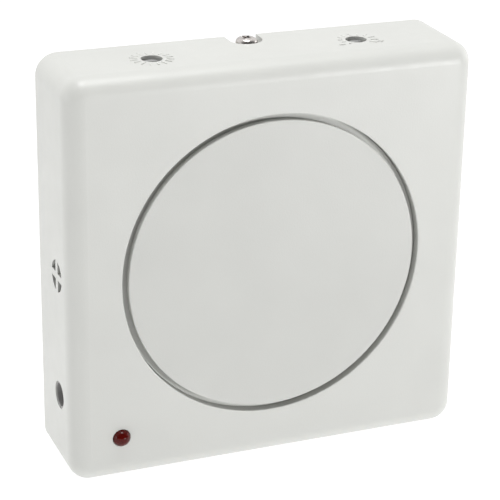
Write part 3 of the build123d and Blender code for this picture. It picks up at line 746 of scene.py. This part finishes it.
class SIREN_OT_dials(bpy.types.Operator):
    """Raises the rays and ticks round the two adjuster holes, with a minus and a plus"""

    bl_idname = "siren.dials"
    bl_label = "Dial marks"

    def execute(self, context):
        settings = context.scene.siren_dials
        # Painted highlight: the marks' colour is the housing's white made lighter by the tone,
        # standing in for the light on their raised tops.
        painted_highlight = shade_of(tuple(context.scene.siren_housing.colour), settings.tone)
        white = moulded_plastic("polished_marks", painted_highlight, 0.3)
        rays = self.marks_round(
            settings, middle("left_adjuster_rotor"), settings.rays,
            (0.0, math.tau * (1 - 1 / settings.rays)), (1.9 * MM, 1.9 * MM),
        )
        fit(joined(rays), "left_dial_rays", white, "housing")

        right = middle("right_adjuster_rotor")
        ticks = self.marks_round(
            settings, right, settings.ticks,
            (math.radians(225), math.radians(-45)), (0.8 * MM, 2.2 * MM),
        )
        aside, forward, length = 5.4 * MM, 3.4 * MM, 1.7 * MM
        minus = (right.x - aside, right.y - forward)
        plus = (right.x + aside, right.y - forward)
        for spot, turn in ((minus, 0.0), (plus, 0.0), (plus, math.pi / 2)):
            ticks.append(self.mark(settings, spot, length, turn))
        fit(joined(ticks), "right_dial_ticks", white, "housing")
        return {"FINISHED"}

    def mark(self, settings, spot, length, turn):
        """One raised bar with softened edges, lying along X before it is turned."""
        sunk = 0.1 * MM
        height = settings.height + sunk
        piece = bar(
            (length, settings.width, height),
            (spot[0], spot[1], TOP_FACE + settings.height - height / 2),
            (0, 0, turn),
        )
        edit_faces(piece, lambda face: face.normal.z > 0.9)
        bpy.ops.mesh.bevel(offset=0.06 * MM, segments=3)
        let_go()
        return piece

    def marks_round(self, settings, centre, count, angles, lengths):
        """Bars pointing at the hole's centre; angles and lengths run from first to last."""
        clear_of_hole = 3.75 * MM
        marks = []
        for index in range(count):
            share = index / (count - 1)
            angle = angles[0] + (angles[1] - angles[0]) * share
            length = lengths[0] + (lengths[1] - lengths[0]) * share
            reach = clear_of_hole + length / 2
            spot = (centre.x + reach * math.cos(angle), centre.y + reach * math.sin(angle))
            marks.append(self.mark(settings, spot, length, angle))
        return marks


class SIREN_OT_board(bpy.types.Operator):
    """Finishes the circuit board and models the solder joints on its back"""

    bl_idname = "siren.board"
    bl_label = "Circuit board"

    def execute(self, context):
        settings = context.scene.siren_board
        dress(circuit_board_mask("green_mask", tuple(settings.colour)), "circuit_board")
        places = [
            spot
            for node in ("tone_chip", "amplifier_chip", "resistors", "transistors")
            for spot in feet(node)
        ]
        half_pitches = ((LENS_MIDDLE, 1.27 * MM), (middle("speaker_header"), 1.25 * MM))
        for centre, step in half_pitches:
            places += [(centre.x - step, centre.z), (centre.x + step, centre.z)]
        first = self.solder_joint(settings, places[0])
        joints = [first]
        for x, z in places[1:]:
            joints.append(copy_of(first, (x - places[0][0], 0, z - places[0][1])))
        solder = plated_metal("solder", (0.74, 0.74, 0.73), 0.24, scale=700.0)
        fit(joined(joints), "solder_joints", solder, "housing")
        return {"FINISHED"}

    def solder_joint(self, settings, spot):
        """Cone of solder drawn up to the trimmed end of a leg."""
        height = settings.joint_height
        sunk = 0.05 * MM
        leg_radius = 0.3 * MM
        waist = 0.88
        let_go()
        bpy.ops.mesh.primitive_cone_add(
            vertices=14, radius1=settings.joint_radius, radius2=leg_radius,
            depth=height + sunk, location=(spot[0], BOARD_BACK + (height - sunk) / 2, spot[1]),
            rotation=(-math.pi / 2, 0, 0),
        )
        joint = added()
        top = BOARD_BACK + height
        edit_faces(joint, lambda face: abs(face.normal.y) < 0.9)
        bpy.ops.mesh.subdivide(number_cuts=2)
        let_go()
        for vertex in joint.data.vertices:
            share = (top - vertex.co.y) / (height + sunk)
            pinch = 1 - waist * share * (1 - share)
            vertex.co.x = spot[0] + (vertex.co.x - spot[0]) * pinch
            vertex.co.z = spot[1] + (vertex.co.z - spot[1]) * pinch
        edit_faces(joint, lambda face: face.normal.y > 0.9 and face.center.y > top - 2 * NEAR)
        bpy.ops.mesh.extrude_region_move(TRANSFORM_OT_translate={"value": (0, 0.3 * MM, 0)})
        let_go()
        return joint


class SIREN_OT_components(bpy.types.Operator):
    """Finishes what stands on the board and models can tops and colour bands"""

    bl_idname = "siren.components"
    bl_label = "Board components"

    def execute(self, context):
        black = moulded_plastic("black_moulding", (0.028, 0.028, 0.03), 0.42, 3200.0)
        dress(black, "tone_chip", "amplifier_chip", "transistors")
        dress(moulded_plastic("jack_moulding", (0.36, 0.355, 0.35), 0.5), "dc_jack_body")
        nickel = plated_metal("nickel_plate", (0.70, 0.67, 0.60), 0.2, (1.0, 6.0, 6.0))
        dress(nickel, "dc_jack_pin", "dc_jack_spring")
        blue = moulded_plastic("trimmer_blue", (0.03, 0.12, 0.40), 0.36)
        dress(blue, "left_adjuster_body", "right_adjuster_body")
        grey = moulded_plastic("rotor_grey", (0.36, 0.36, 0.355), 0.5, unevenness=0.1)
        dress(grey, "left_adjuster_rotor", "right_adjuster_rotor")
        dress(moulded_plastic("terminal_green", (0.05, 0.30, 0.13), 0.4), "terminal_block")
        dress(shrink_sleeve("can_sleeve", (0.02, 0.03, 0.12)), "capacitors")
        dress(moulded_plastic("resistor_coat", (0.62, 0.47, 0.28), 0.35), "resistors")
        dress(moulded_plastic("header_nylon", (0.80, 0.77, 0.68), 0.38), "speaker_header")
        red = moulded_plastic("red_sleeve", (0.50, 0.02, 0.02), 0.4, 1500.0)
        dress(red, "speaker_lead_a")
        dark = moulded_plastic("black_sleeve", (0.025, 0.025, 0.025), 0.4, 1500.0)
        dress(dark, "speaker_lead_b")
        dress(plated_metal("brass", (0.78, 0.58, 0.25), 0.3), "captive_nut")
        self.can_tops()
        self.colour_bands()
        return {"FINISHED"}

    def islands(self, node, gap):
        """Boxes, as (low, high), of the separate solids of a node."""
        boxes = []
        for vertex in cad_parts[node].data.vertices:
            point = vertex.co
            near = [
                box
                for box in boxes
                if all(box[0][i] - gap < point[i] < box[1][i] + gap for i in range(3))
            ]
            low = Vector(point)
            high = Vector(point)
            for box in near:
                low = Vector(map(min, low, box[0]))
                high = Vector(map(max, high, box[1]))
                boxes.remove(box)
            boxes.append((low, high))
        return boxes

    def can_tops(self):
        """Bare metal top of each capacitor, with its scored vent."""
        tops = []
        for low, high in self.islands("capacitors", 2.6 * MM):
            centre = (low + high) / 2
            radius = (high.x - low.x) / 2 - 0.75 * MM
            top = cylinder(radius, 0.2 * MM, (centre.x, low.y, centre.z), "Y", 40)
            edit_faces(top, lambda face: face.normal.y < -0.9)
            bpy.ops.mesh.inset(thickness=0.25 * MM)
            bpy.ops.transform.translate(value=(0, 0.06 * MM, 0))
            let_go()
            for turn in (0.0, math.pi / 2):
                score = bar(
                    (radius * 1.3, 0.1 * MM, 0.22 * MM),
                    (centre.x, low.y - 0.04 * MM, centre.z), (0, turn, 0),
                )
                cut_away(top, score)
            tops.append(top)
        metal = plated_metal("can_aluminium", (0.80, 0.80, 0.80), 0.3, scale=1500.0)
        fit(joined(tops), "capacitor_tops", metal, "housing")

    def colour_bands(self):
        """Painted bands round each resistor."""
        colours = {
            "band_brown": ((0.12, 0.045, 0.015), -0.8 * MM),
            "band_red": ((0.45, 0.02, 0.01), 0.0),
            "band_orange": ((0.70, 0.20, 0.02), 0.8 * MM),
        }
        axis_height = 1.2 * MM
        bodies = self.islands("resistors", 1.6 * MM)
        for name, (colour, shift) in colours.items():
            bands = []
            for low, high in bodies:
                centre = (low + high) / 2
                spot = (centre.x + shift, low.y + axis_height, centre.z)
                band = cylinder(1.03 * MM, 0.42 * MM, spot, "X", 28)
                edit_faces(band, lambda face: abs(face.normal.x) > 0.9)
                bpy.ops.mesh.inset(thickness=0.1 * MM)
                bpy.ops.transform.resize(value=(0.8, 1, 1), center_override=spot)
                let_go()
                bands.append(band)
            enamel = moulded_plastic(name, colour, 0.35)
            fit(joined(bands), f"resistor_{name}", enamel, "housing")


class SIREN_OT_speaker(bpy.types.Operator):
    """Finishes the loudspeaker's pieces"""

    bl_idname = "siren.speaker"
    bl_label = "Loudspeaker"

    def execute(self, context):
        pressed = plated_metal("pressed_steel", (0.58, 0.58, 0.57), 0.36, (1.0, 0.3, 1.0), 700.0)
        dress(pressed, "speaker_basket", "speaker_top_plate", "speaker_yoke")
        dress(sintered_ferrite("ferrite"), "speaker_magnet")
        dress(closed_cell_foam("black_foam", (0.05, 0.05, 0.052)), "speaker_gasket")
        dress(closed_cell_foam("surround_foam", (0.045, 0.045, 0.047)), "cone_surround")
        dress(pressed_paper("cone_paper", (0.075, 0.072, 0.07)), "speaker_cone", "dust_cap")
        dress(laminate("tag_laminate", (0.30, 0.16, 0.06)), "speaker_tag_board")
        dress(wound_wire("copper_turns", (0.72, 0.33, 0.16)), "voice_coil")
        dress(woven_cloth("spider_weave", (0.60, 0.45, 0.20)), "cone_spider")
        return {"FINISHED"}


# Lamps of the stage: name, place and width in metres
LAMPS = (
    ("key", (0.42, -0.74, -0.005), 0.09),
    ("rim", (0.75, 0.05, 0.12), 0.4),
    ("top", (0.0, -0.06, 0.60), 0.3),
    ("left", (-0.85, 0.0, 0.06), 0.4),
)


class SIREN_OT_stage(bpy.types.Operator):
    """Sets the pale floor, the soft studio light and the camera"""

    bl_idname = "siren.stage"
    bl_label = "Stage"

    def execute(self, context):
        settings = context.scene.siren_stage
        self.floor()
        self.sky(settings.front_sky, settings.back_sky)
        for name, place, size in LAMPS:
            self.lamp(f"{name}_lamp", place, size, getattr(settings, name))
        self.camera(settings)
        context.scene.view_settings.view_transform = "Standard"
        return {"FINISHED"}

    def floor(self):
        """White paper that glows a little, so that it shows no horizon."""
        let_go()
        bpy.ops.mesh.primitive_plane_add(size=30, location=(0, 0, COVER_LOW.z - 0.2 * MM))
        floor = added()
        floor.name = "floor"
        paper, shader, place = new_finish("white_paper")
        shader.inputs["Base Color"].default_value = (0.35, 0.35, 0.35, 1)
        shader.inputs["Roughness"].default_value = 0.9
        shader.inputs["Specular IOR Level"].default_value = 0.0
        shader.inputs["Emission Color"].default_value = (1, 1, 1, 1)
        shader.inputs["Emission Strength"].default_value = 0.82
        relief(paper, shader, cloud(paper, place, 300.0), 0.02 * MM)
        floor.data.materials.append(paper)

    def sky(self, front, back):
        """Soft light all round, stronger from behind the object than from in front of it.

        It follows Y: each stop is its place from front to back and its share of the strength.
        """
        world = bpy.data.worlds.new("studio")
        world.use_nodes = True
        bpy.context.scene.world = world
        nodes = world.node_tree.nodes
        links = world.node_tree.links
        place = nodes.new("ShaderNodeTexCoord")
        split = nodes.new("ShaderNodeSeparateXYZ")
        links.new(place.outputs["Generated"], split.inputs["Vector"])
        depth = nodes.new("ShaderNodeMapRange")
        depth.inputs["From Min"].default_value = -1.0
        links.new(split.outputs["Y"], depth.inputs["Value"])
        glow = nodes.new("ShaderNodeValToRGB")
        glow.color_ramp.interpolation = "B_SPLINE"
        stops = glow.color_ramp.elements
        stops.new(0.5)
        shares = ((0.36, front / back), (0.64, 1.0), (0.95, 0.62))
        for stop, (position, share) in zip(stops, shares):
            stop.position = position
            stop.color = (share, share, share, 1.0)
        links.new(depth.outputs["Result"], glow.inputs["Fac"])
        links.new(glow.outputs["Color"], nodes["Background"].inputs["Color"])
        nodes["Background"].inputs["Strength"].default_value = back

    def lamp(self, name, place, size, power):
        """Round soft lamp that shines at the object's middle."""
        data = bpy.data.lights.new(name, "AREA")
        data.shape = "DISK"
        data.size = size
        data.energy = power
        lamp = bpy.data.objects.new(name, data)
        bpy.context.scene.collection.objects.link(lamp)
        lamp.location = place
        lamp.rotation_euler = (-Vector(place)).to_track_quat("-Z", "Y").to_euler()

    def camera(self, settings):
        """Camera at a distance and two angles from the point it looks at, with its roll."""
        azimuth, elevation = settings.azimuth, settings.elevation
        back = Vector((
            math.sin(azimuth) * math.cos(elevation),
            -math.cos(azimuth) * math.cos(elevation),
            math.sin(elevation),
        ))
        right = Vector((math.cos(azimuth), math.sin(azimuth), 0))
        up = back.cross(right)
        cos_roll, sin_roll = math.cos(settings.roll), math.sin(settings.roll)
        across = right * cos_roll + up * sin_roll
        upward = up * cos_roll - right * sin_roll
        data = bpy.data.cameras.new("camera")
        data.lens = settings.lens
        data.sensor_width = 36
        data.clip_start = 0.01
        camera = bpy.data.objects.new("camera", data)
        bpy.context.scene.collection.objects.link(camera)
        turn = Matrix((across, upward, back)).transposed().to_4x4()
        camera.matrix_world = (
            Matrix.Translation(Vector(settings.target) + back * settings.distance) @ turn
        )
        bpy.context.scene.camera = camera


# --- Panel and registration ---------------------------------------------------------------------
class SIREN_PT_panel(bpy.types.Panel):
    """Sidebar panel with each group's settings and its operators"""

    bl_label = "Alarm Siren"
    bl_space_type = "VIEW_3D"
    bl_region_type = "UI"
    bl_category = "Alarm Siren"

    def draw(self, context):
        for group, operators in LAYOUT.items():
            box = self.layout.box()
            settings = getattr(context.scene, group, None)
            if settings:
                for name in settings.bl_rna.properties.keys():
                    if name not in ("rna_type", "name"):
                        box.prop(settings, name)
            for operator in operators:
                box.operator(operator)


GROUPS = {
    "siren_housing": SIREN_PG_housing,
    "siren_screw": SIREN_PG_screw,
    "siren_indicator": SIREN_PG_indicator,
    "siren_dials": SIREN_PG_dials,
    "siren_board": SIREN_PG_board,
    "siren_stage": SIREN_PG_stage,
}
LAYOUT = {
    "siren_housing": ("siren.housing",),
    "siren_screw": ("siren.cover_screw",),
    "siren_indicator": ("siren.indicator",),
    "siren_dials": ("siren.dials",),
    "siren_board": ("siren.board", "siren.components", "siren.speaker"),
    "siren_stage": ("siren.stage",),
}
OPERATORS = (
    SIREN_OT_housing,
    SIREN_OT_cover_screw,
    SIREN_OT_indicator,
    SIREN_OT_dials,
    SIREN_OT_board,
    SIREN_OT_components,
    SIREN_OT_speaker,
    SIREN_OT_stage,
)


def register():
    """Registers the settings, operators and panel."""
    for cls in (*GROUPS.values(), *OPERATORS, SIREN_PT_panel):
        bpy.utils.register_class(cls)
    for name, cls in GROUPS.items():
        setattr(bpy.types.Scene, name, PointerProperty(type=cls))


def unregister():
    """Takes away what register added."""
    for name in GROUPS:
        delattr(bpy.types.Scene, name)
    for cls in reversed((*GROUPS.values(), *OPERATORS, SIREN_PT_panel)):
        bpy.utils.unregister_class(cls)


def main():
    """Makes everything in order."""
    register()
    for operator in OPERATORS:
        family, name = operator.bl_idname.split(".")
        getattr(getattr(bpy.ops, family), name)()


if __name__ == "__main__":
    main()
